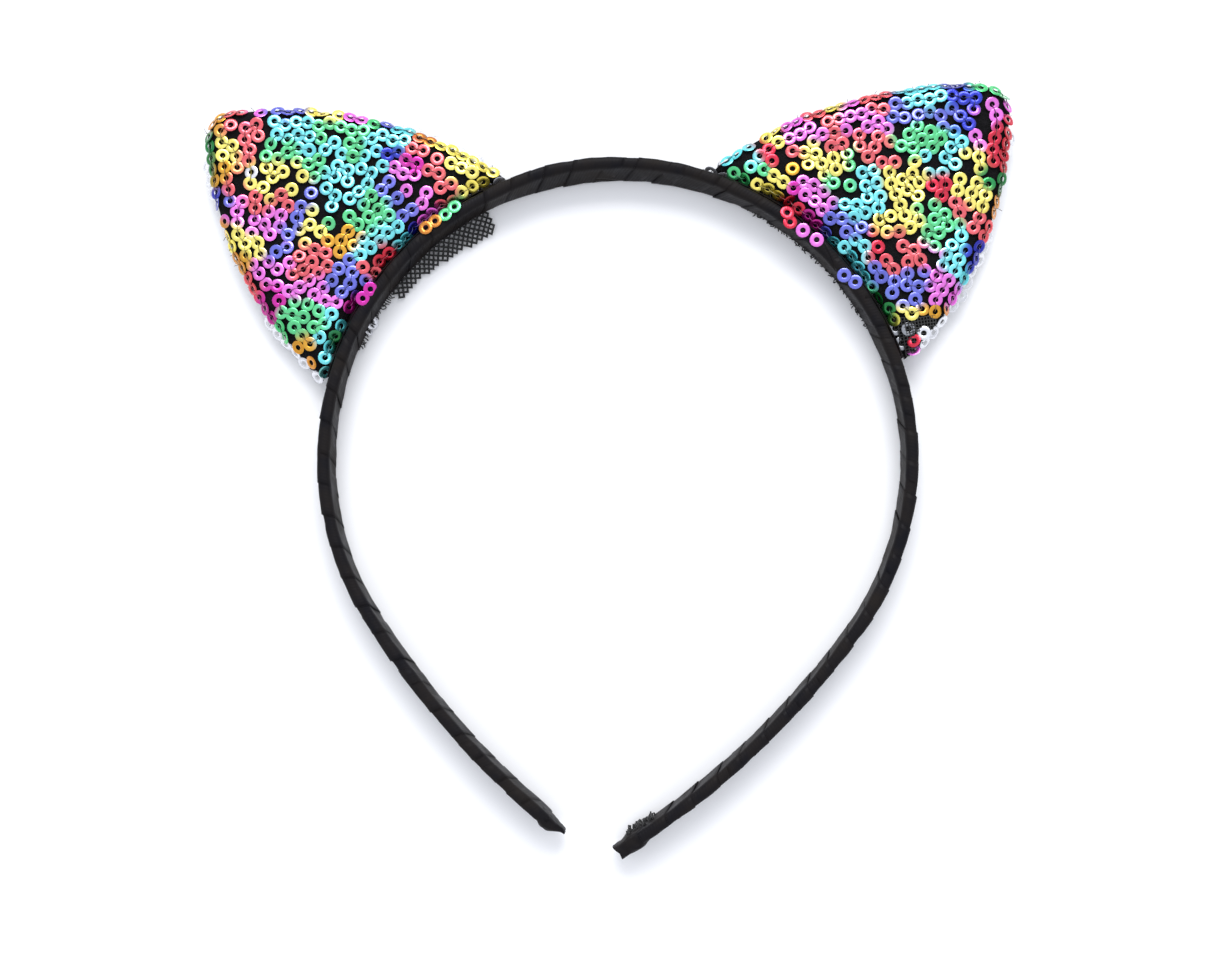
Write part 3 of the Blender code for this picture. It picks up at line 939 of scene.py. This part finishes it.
def sew_face(name, sign, up, half, seed, allowed, colours, flipped=()):
    """All the rings of a face as one piece, and the paths of the stitches between them."""
    chains, draw = sew_rings(half, seed, allowed), random.Random(seed + 50)
    shape, strength, stitches = bmesh.new(), [], []
    for chain in chains:
        spots = np.array(chain)
        heights, normals = pocket_height(spots, half, seed), slope_normal(spots, half, seed)
        loose = near_base(spots)
        ways = np.diff(spots, axis=0) if len(chain) > 1 else np.array([[1.0, 0.4]])
        lifts = [RING_LIFT + draw.uniform(0, RING_LIFT) + CRUSH_LIFT * crush for crush in loose]
        for i, spot in enumerate(spots):
            tip = TIP_FLAT + (TIP_LOOSE - TIP_FLAT) * max(loose[i], (1 - normals[i][2]) * 1.2)
            ahead = (*ways[min(i, len(ways) - 1)], 0.0)
            place = Vector((*spot, heights[i])) + Vector(normals[i]) * lifts[i]
            matrix = settle(place, normals[i], ahead, draw, tip)
            stamp(shape, matrix)
            # Painted shade: a ring tilted away from straight out of the ear gets a deeper, darker colour.
            tilt_shade = 1 + TILT_PAINTED_SHADE * max(0.0, 1 - matrix.col[2].z)
            turned_over = any(math.dist(spot, other) < STEP / 2 for other in flipped)
            strength.append((draw.uniform(0.88, 1.06), tilt_shade, turned_over))
        for i in range(len(chain) - 1):
            stitches.append(thread_path(spots[i], spots[i + 1], heights[i:i + 2], normals[i:i + 2],
                                        max(lifts[i:i + 2])))
    per_ring = len(RING.vertices)
    spots = np.array([vert.co.xy for vert in shape.verts])
    middles = np.repeat(spots.reshape(-1, per_ring, 2).mean(axis=1), per_ring, axis=0)
    spots = middles + PRINT_SPREAD * (spots - middles)
    bright, tilt_shade, turned_over = [np.repeat(values, per_ring)[:, None] for values in zip(*strength)]
    film = np.clip(colours(spots), 0, 1) ** tilt_shade * bright
    film = np.where(turned_over, np.array(linear(SILVER)[:3]), np.clip(film, 0, 1))
    layer = shape.verts.layers.float_color.new("film")
    for vert, colour in zip(shape.verts, film):
        vert[layer] = (*colour, 1.0)
    to_ear(shape, sign, up)
    piece = finish_piece(name, shape, FILM, smooth=50.0)
    return piece, [[ear_frame(sign, up) @ point for point in path] for path in stitches]


def to_ear(shape, sign, up):
    matrix = ear_frame(sign, up)
    bmesh.ops.transform(shape, matrix=matrix, verts=shape.verts)
    if matrix.determinant() < 0:
        bmesh.ops.reverse_faces(shape, faces=shape.faces)


def thread_path(first, second, heights, normals, lift):
    """A stitch comes up through one ring's hole, crosses both rims, and goes down the next hole."""
    points = []
    for share, above in ((0.0, -0.05), (0.24, lift + 0.19), (0.76, lift + 0.19), (1.0, -0.05)):
        spot = first + (second - first) * share
        height = heights[0] + (heights[1] - heights[0]) * share
        normal = normals[0] + (normals[1] - normals[0]) * share
        points.append(Vector((*spot, height)) + Vector(normal).normalized() * above)
    return points


def silver_colours(spots):
    """Aluminium film with no print: near white, a little greyer in places."""
    tone = np.array([ripple(u * 0.3, w * 0.3, 9.0) for u, w in spots])
    return np.array(linear(SILVER)[:3]) * (0.9 + 0.14 * tone[:, None])


# %% [markdown]
# ## Put an ear together
# From the inside out: the padding, the front and back panels of net, the rainbow rings in front, the
# silver rings behind, and their stitches. The front stops short of one corner on the right ear, where
# the sequins ran out. Behind, silver rings come right out to the seam in places, and peek round it.

# %% Where rings may be sewn
FLIPPED = {-1: ((-6.2, 97.4), (19.7, 60.2)), 1: ()}
SILVER_REACH = {             # boxes in (u, w) where the back's rings come out to the seam
    -1: ((-30, -20, 55, 74), (-16, -9, 100, 108), (14, 29, 58, 80)),
    1: ((-30, -18, 60, 90), (24, 30, 56, 60)),
}


def in_box(spot, box):
    return box[0] < spot[0] < box[1] and box[2] < spot[1] < box[3]


def corner_share(spot):
    """How far a point lies into the right ear's bare corner, in millimetres."""
    return 58.9 - 1.3 * (spot[0] + 19.6) - spot[1]


def front_allows(sign):
    def allowed(spot):
        bare = sign > 0 and corner_share(spot) > 0
        return not bare and depth_inside(np.array([spot]))[0] > 0.4
    return allowed


def back_allows(sign):
    def allowed(spot):
        least = 0.05 if any(in_box(spot, box) for box in SILVER_REACH[sign]) else 0.9
        return depth_inside(np.array([spot]))[0] > least
    return allowed


# %% Both ears
GROUND_DROP = 0.32           # the net lies this far under the middle of the rings
NET_SEAM, NET_THICK = 0.2, 0.15
PAD_HALF = 1.95
STITCH_R, STITCH_SHADE = 0.11, 0.32      # a stitch is painted with the colour of the film under it, darkened: painted reflection and shade
SEEDS = {-1: (11, 23), 1: (12, 24)}
for sign, side in SIDE.items():
    front_seed, back_seed = SEEDS[sign]
    pad = pocket_panel(side + "_ear_pad", sign, 1, PAD_HALF, 0.0, front_seed, WADDING, both=True)
    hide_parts(side + "_ear_padding")
    blend_ear(pad, side, sign)
    faces = (
        ("front", "rainbow", 1, FRONT_HALF, front_seed, front_allows(sign),
         lambda spots, sign=sign: film_colours(sign, spots), FLIPPED[sign]),
        ("back", "silver", -1, BACK_HALF, back_seed, back_allows(sign), silver_colours, ()),
    )
    for facing, kind, up, half, seed, allowed, colours, flipped in faces:
        net = pocket_panel(side + "_pocket_" + facing, sign, up, half - GROUND_DROP, NET_SEAM, seed, NET)
        thicken(net, NET_THICK)
        rings, paths = sew_face(
            side + "_" + kind + "_sequins", sign, up, half, seed, allowed, colours, flipped)
        stitches = thread_piece(side + "_" + facing + "_stitches", paths, STITCH_R, MONOFILAMENT)
        # Painted reflection and shade: each stitch gets the colour of the film under it, darkened.
        to_pattern = ear_frame(sign).inverted() @ Matrix.Scale(1 / MM, 4)
        spots = np.array([(to_pattern @ vert.co).xy for vert in stitches.data.vertices])
        shade = np.column_stack([colours(spots) * STITCH_SHADE, np.ones(len(spots))])
        painted_film_reflection = stitches.data.attributes.new("film", "FLOAT_COLOR", "POINT")
        painted_film_reflection.data.foreach_set("color", shade.ravel())
        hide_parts(side + "_ear_" + facing + "_net")
        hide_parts(side + "_ear_" + facing + "_sequins")
        for piece in (net, rings, stitches):
            blend_ear(piece, side, sign)

# %% [markdown]
# ## The hem
# A strip of the same ribbon is folded over the raw base of each ear and glued to the band's outer
# face. From above one sees its fold as a second black line beside the band.

# %% Hem at the base of an ear
HEM_R, HEM_THICK, HEM_REACH = 62.6, 0.42, 26.0
HEM_FOLD = HEM_THICK * math.pi / 2       # ribbon taken up by the fold itself
HEM_LEG = (RIBBON_WIDTH - HEM_FOLD) / 2
HEM_TOP = MID_Z + 2.35
HEM_GRID = (110, 26)


def base_hem(side, sign):
    first, last = [EAR_AT[sign] + turn for turn in (-HEM_REACH, HEM_REACH)]
    length = HEM_R * math.radians(2 * HEM_REACH)

    def place(a, b):
        travel = b * RIBBON_WIDTH
        outward = outward_at(first + (last - first) * a)
        bend = min(max(travel - HEM_LEG, 0.0), HEM_FOLD) / (HEM_THICK / 2)
        leg = min(travel, HEM_LEG) - max(travel - RIBBON_WIDTH + HEM_LEG, 0.0)
        out = -math.cos(bend) * HEM_THICK / 2
        up = leg - HEM_LEG + math.sin(bend) * HEM_THICK / 2
        wave = 0.12 * ripple(a * length * 0.25, up * 0.3, 5.0 * sign)
        top = HEM_TOP + 0.3 * ripple(a * length * 0.2, 1.0, sign)
        return in_plan(HOOP_CENTRE, outward, HEM_R + out + wave, max(top + up, 0.3))

    shape = cloth_grid(*HEM_GRID, place, (length, RIBBON_WIDTH))
    bmesh.ops.recalc_face_normals(shape, faces=shape.faces)
    piece = finish_piece(side + "_folded_hem", shape, RIBBON, smooth=60.0)
    thicken(piece, RIBBON_THICK)
    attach(piece, side + "_side")
    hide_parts(side + "_base_hem")


for sign, side in SIDE.items():
    base_hem(side, sign)

# %% [markdown]
# ## Left-over net
# The net was cut wider than the ear, and what is left shows inside the hoop. On the left it is a real
# strip of open net with a toothed edge, then a fringe of cut threads. On the right only a fringe shows.
# The net is a grid turned by 45 degrees, and the wireframe operator turns each of its edges to thread.

# %% Cut net and fringes
NET_PITCH, NET_THREAD = 1.0, 0.45
NET_Z = 0.9                  # height of the net over the floor
NET_FROM, NET_TO = -28.5, -53.0          # angles between which the open net shows
NET_DEEP, NET_NARROWS = 4.4, 2.1         # its width, and how much of that it loses on the way
INNER_FACE_R = HOOP_R - HALF_THICK
FRINGE_R = 0.13


def inside_band(angle, depth, height):
    return in_plan(HOOP_CENTRE, outward_at(angle), INNER_FACE_R - depth, height)


def open_net(grid, turn, middle, keep, carry, thread, **more):
    """A turned grid of threads. keep says which cells stay, and carry takes its points to their places."""
    cells, half = grid
    shape = bmesh.new()
    bmesh.ops.create_grid(shape, x_segments=cells, y_segments=cells, size=half)
    bmesh.ops.rotate(shape, verts=shape.verts, matrix=Matrix.Rotation(math.radians(turn), 3, "Z"))
    bmesh.ops.translate(shape, verts=shape.verts, vec=(*middle, 0))
    outside = [face for face in shape.faces if not keep(*face.calc_center_median().xy)]
    bmesh.ops.delete(shape, geom=outside, context="FACES")
    for vert in shape.verts:
        vert.co = carry(*vert.co.xy)
    bmesh.ops.wireframe(shape, faces=shape.faces, thickness=thread, use_replace=True,
                        use_boundary=True, **more)
    bmesh.ops.recalc_face_normals(shape, faces=shape.faces)
    return shape


def left_strip():
    length = INNER_FACE_R * math.radians(abs(NET_TO - NET_FROM))
    cells = math.ceil(length / NET_PITCH) + 2

    def keep(along, depth):
        free_edge = NET_DEEP - NET_NARROWS * ease(along, 4, length)
        return 0 < along < length and -0.3 < depth < free_edge

    def carry(along, depth):
        sway = 0.5 * ripple(along * 0.3, depth * 0.3, 2.0)
        angle = NET_FROM - math.degrees((along + 0.4 * sway) / INNER_FACE_R)
        return inside_band(angle, depth + 0.3 * sway, NET_Z + sway)

    shape = open_net((cells, cells * NET_PITCH / 2), 45, (length / 2, 0), keep, carry, NET_THREAD,
                     use_even_offset=True)
    return finish_piece("left_cut_net", shape, THREAD, smooth=50.0)


def fringe(name, first, last, pitch, reach, seed):
    """Cut threads that stand out inside the band, from one angle to another."""
    draw, paths = random.Random(seed), []
    count = round(abs(math.radians(last - first)) * INNER_FACE_R / pitch)
    for i in range(count):
        angle = first + (last - first) * (i + draw.uniform(-0.3, 0.3)) / count
        long = draw.uniform(*reach)
        lean = draw.uniform(-0.9, 0.9)
        height = NET_Z + draw.uniform(-0.3, 0.6)
        paths.append([inside_band(angle, -0.2, height), inside_band(angle + lean * 0.2, long * 0.6, height),
                      inside_band(angle + lean, long, height + draw.uniform(-0.3, 0.4))])
    return thread_piece(name, paths, FRINGE_R, THREAD)


left_net = left_strip()
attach(left_net, "left_side")
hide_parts("left_net_flap")
left_fringe = fringe("left_net_fringe", -50.0, -67.0, 0.5, (0.5, 1.4), 31)
right_fringe = fringe("right_net_fringe", 28.0, 63.0, 0.62, (0.25, 0.8), 32)
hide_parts("right_net_flap")
for side, piece in (("left", left_fringe), ("right", right_fringe)):
    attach(piece, side + "_side")

# %% [markdown]
# ## Stray rings and hairs
# Silver rings from behind are sewn over the seam in places and show round the rims. Some front ones
# were caught over the hem, and lie on the band. A few have come off their chain: silver ones by the
# fringe, a red and a pink one in the bare corner. Fine hairs of thread stick out round the seams. A
# scatter by chance would put them anywhere, so these are placed in the ear's pattern.

# %% Stray rings
def stray_rings(name, places, sign, colours):
    """Rings at given places: (u, w, height, lean, turn), in the ear's pattern."""
    shape = bmesh.new()
    for u, w, height, lean, turn in places:
        matrix = Matrix.Translation((u, w, height)) @ Matrix.Rotation(math.radians(turn), 4, "Z")
        stamp(shape, matrix @ Matrix.Rotation(math.radians(lean), 4, "X"))
    layer = shape.verts.layers.float_color.new("film")
    for i, vert in enumerate(shape.verts):
        vert[layer] = linear(colours[i // len(RING.vertices)])
    to_ear(shape, sign, 1)
    piece = finish_piece(name, shape, FILM, smooth=50.0)
    return piece


def rim_places(sign, seed):
    """Silver rings sewn over the seam from behind: they face outward, and show their upper half."""
    draw, places, walked = random.Random(seed), [], 0.0
    for spot, leg in zip(OUTLINE, LEGS):
        walked += np.linalg.norm(leg)
        if walked < RIM_STEP or not any(in_box(spot, box) for box in RIM_REACH[sign]):
            continue
        walked = draw.uniform(-0.9, 0.3)
        outward = np.array([-leg[1], leg[0]]) / np.linalg.norm(leg)
        place = spot + outward * draw.uniform(0.1, 0.75)
        turn = math.degrees(math.atan2(leg[1], leg[0])) + draw.gauss(0, 9)
        places.append((*place, draw.uniform(0.3, 1.1), draw.gauss(RIM_LEAN, 9), turn))
    return places


NET_SHADED_SILVER = "#8f9196"      # silver film darkened as painted shade of the net over it
CORNER = (                   # u, w, height over the net, lean, turn, colour
    (-27.0, 62.9, 0.75, 12, 40, SILVER), (-26.6, 60.3, 0.6, 34, 70, TINTS["red"]),
    (-28.0, 59.2, 0.3, 42, 100, TINTS["magenta"]), (-24.2, 61.4, -0.1, 6, 10, NET_SHADED_SILVER),
    (-22.2, 59.9, -0.12, 7, 50, NET_SHADED_SILVER), (-25.3, 58.6, -0.1, 6, 20, NET_SHADED_SILVER),
)
HEM_RINGS = {                # rings caught over the hem on to the band: u, w, lean, turn, colour
    -1: ((-7.9, 61.4, 14, 5, "wine"), (16.5, 59.9, 17, 162, "green"), (14.0, 60.2, 17, 165, "green"),
         (11.6, 60.9, 15, 170, "copper"), (9.3, 61.4, 12, 172, "copper"), (-10.4, 61.3, 13, 12, "wine")),
    1: ((-6.9, 59.7, 8, 10, "blue"), (-9.5, 60.3, 10, 40, "blue"), (8.8, 59.8, 9, 170, "red"),
        (10.6, 60.8, 14, 160, "red"), (5.7, 60.4, 8, 0, "magenta"), (2.3, 61.0, 5, 15, "magenta")),
}
HEM_RING_HEIGHT = 4.35       # over the middle of the strip: on top of the wound ribbon
FRINGE_RINGS = ((-12.9, 58.1, -2.2, 40, 30), (-14.6, 57.9, -2.4, 62, 75))
RIM_STEP, RIM_LEAN = 2.2, -48            # from ring to ring along the rim, and the lean over it
RIM_REACH = {                # boxes in (u, w) where silver rings come round the seam to the front
    -1: ((-30, -24, 56, 75), (-15, -8, 100, 109), (17, 29, 57, 80)),
    1: ((-29, -19, 62, 90), (25, 30, 56, 60), (-13, -8, 98, 106)),
}
corner_heights = pocket_height(np.array([place[:2] for place in CORNER]), FRONT_HALF, SEEDS[1][0])
corner_rings = stray_rings(
    "right_corner_sequins",
    [(u, w, level + over, lean, turn)
     for (u, w, over, lean, turn, _), level in zip(CORNER, corner_heights)],
    1, [place[-1] for place in CORNER])
blend_ear(corner_rings, "right", 1)
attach(stray_rings("left_fringe_sequins", FRINGE_RINGS, -1, (SILVER, SILVER)), "left_side")
for sign, side in SIDE.items():
    caught = [(u, w, HEM_RING_HEIGHT, lean, turn) for u, w, lean, turn, _ in HEM_RINGS[sign]]
    tints = [TINTS[ring[-1]] for ring in HEM_RINGS[sign]]
    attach(stray_rings(side + "_hem_sequins", caught, sign, tints), side + "_side")
    places = rim_places(sign, 60 + sign)
    blend_ear(stray_rings(side + "_rim_sequins", places, sign, [SILVER] * len(places)), side, sign)

# %% Corner of bare net
BARE_GRID, BARE_TURN, BARE_MIDDLE = (20, 6.5), 35, (-24.5, 60.5)
BARE_LIFT, BARE_THREAD = 0.12, 0.3


def bare_cell(u, w):
    return depth_inside(np.array([[u, w]]))[0] >= 0.4 and corner_share((u, w)) >= 0


def bare_place(u, w):
    height = pocket_height(np.array([[u, w]]), FRONT_HALF, SEEDS[1][0])[0]
    return Vector((u, w, height + BARE_LIFT))


corner_shape = open_net(BARE_GRID, BARE_TURN, BARE_MIDDLE, bare_cell, bare_place, BARE_THREAD)
to_ear(corner_shape, 1, 1)
corner_net = finish_piece("right_bare_net", corner_shape, THREAD, smooth=50.0)
blend_ear(corner_net, "right", 1)

# %% Loose hairs round the seams
HAIRS, HAIR_R = 26, 0.05


def loose_hairs(side, sign, seed):
    draw, paths = random.Random(seed), []
    for _ in range(HAIRS):
        at = draw.randrange(len(OUTLINE))
        spot = OUTLINE[at]
        away = np.array([LEGS[at][1], -LEGS[at][0]]) / np.linalg.norm(LEGS[at])
        if depth_inside(np.array([spot + away * 0.5]))[0] > 0:
            away = -away
        reach, bend = draw.uniform(0.5, 1.6), draw.uniform(-0.9, 0.9)
        height = draw.uniform(-0.5, 1.8)
        side_way = np.array([-away[1], away[0]])
        points = []
        for share in (0.0, 0.35, 0.7, 1.0):
            place = spot - away * 0.5 + away * reach * share + side_way * bend * share * share
            points.append(ear_frame(sign) @ Vector((*place, height + 0.3 * share)))
        paths.append(points)
    piece = thread_piece(side + "_loose_hairs", paths, HAIR_R, THREAD)
    blend_ear(piece, side, sign)


for sign, side in SIDE.items():
    loose_hairs(side, sign, 40 + sign)

# %% [markdown]
# ## Spring steel
# The strip inside the ribbon is cold-rolled spring steel, rolled to a dull shine, with faint lines
# along its length. It is hidden here, but it shows wherever the ribbon is taken off.

# %% Spring steel
def spring_steel():
    steel = new_finish("cold_rolled_spring_steel")
    rolled = grain(steel, 1800.0, Detail=3.0)
    return shaded(steel, Metallic=1.0, Base_Color=tones(steel, rolled, "#8f9296", "#b4b6b9"),
                  Roughness=ranged(steel, rolled, 0.25, 0.42))


STEEL = spring_steel()
for name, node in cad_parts.items():
    if name.startswith("strip_"):
        node.data.materials.clear()
        node.data.materials.append(STEEL)

# %% [markdown]
# ## Floor, light and camera
# A white floor, and white light from a big softbox above the far edge, as in a catalogue picture. The
# sky is brightest overhead, so a ring that lies flat mirrors white and a tilted ring mirrors grey.

# %% Floor
FLOOR_HALF, FLOOR_Z = 4000.0, -0.05
paper = new_finish("matt_white_paper")
shaded(paper, Roughness=0.95,
       Base_Color=tones(paper, grain(paper, 60.0, Detail=3.0), "#f7f7f8", "#fafafa"))
floor_shape = bmesh.new()
bmesh.ops.create_grid(floor_shape, x_segments=4, y_segments=4, size=FLOOR_HALF)
bmesh.ops.translate(floor_shape, verts=floor_shape.verts, vec=(0, 0, FLOOR_Z))
floor = finish_piece("paper_floor", floor_shape, paper)

# %% Light
HORIZON, ZENITH, SKY_STRENGTH = (0.6, 0.61, 0.63, 1.0), (0.94, 0.97, 1.05, 1.0), 1.15
SOFTBOX_SIZE, SOFTBOX_POWER, SOFTBOX_AT = (0.8, 0.55), 10.0, (0.0, 0.88, 0.75)

world = bpy.data.worlds.new("soft_sky")
world.use_nodes = True
bpy.context.scene.world = world
aim = add(world, "TexCoord")
split = add(world, "SeparateXYZ", {"Vector": aim.outputs["Generated"]})
ramp = add(world, "ValToRGB", {"Fac": split.outputs["Z"]})
for stop, colour in zip(ramp.color_ramp.elements, (HORIZON, ZENITH)):
    stop.color = colour
plug(world, world.node_tree.nodes["Background"],
     {"Color": ramp.outputs["Color"], "Strength": SKY_STRENGTH})

softbox = bpy.data.lights.new("softbox", "AREA")
softbox.shape = "RECTANGLE"
softbox.size, softbox.size_y = SOFTBOX_SIZE
softbox.energy = SOFTBOX_POWER
softbox_lamp = bpy.data.objects.new("softbox", softbox)
softbox_lamp.location = SOFTBOX_AT
softbox_lamp.rotation_euler = (-softbox_lamp.location).to_track_quat("-Z", "Y").to_euler()
bpy.context.scene.collection.objects.link(softbox_lamp)

# %% Camera
CAMERA_AT = (0.0053, -0.01262, 0.279)
CAMERA_TURNS = ((0.152, "Z"), (0.953, "Y"), (2.029, "X"))      # degrees, the last one made first

lens = bpy.data.cameras.new("camera")
lens.sensor_width, lens.lens = 36.0, 38.95
lens.clip_start = 0.01
camera = bpy.data.objects.new("camera", lens)
camera.matrix_world = Matrix.Translation(CAMERA_AT)
for angle, axis in CAMERA_TURNS:
    camera.matrix_world = camera.matrix_world @ Matrix.Rotation(math.radians(angle), 4, axis)
bpy.context.scene.collection.objects.link(camera)
bpy.context.scene.camera = camera
bpy.context.scene.view_settings.view_transform = "Standard"
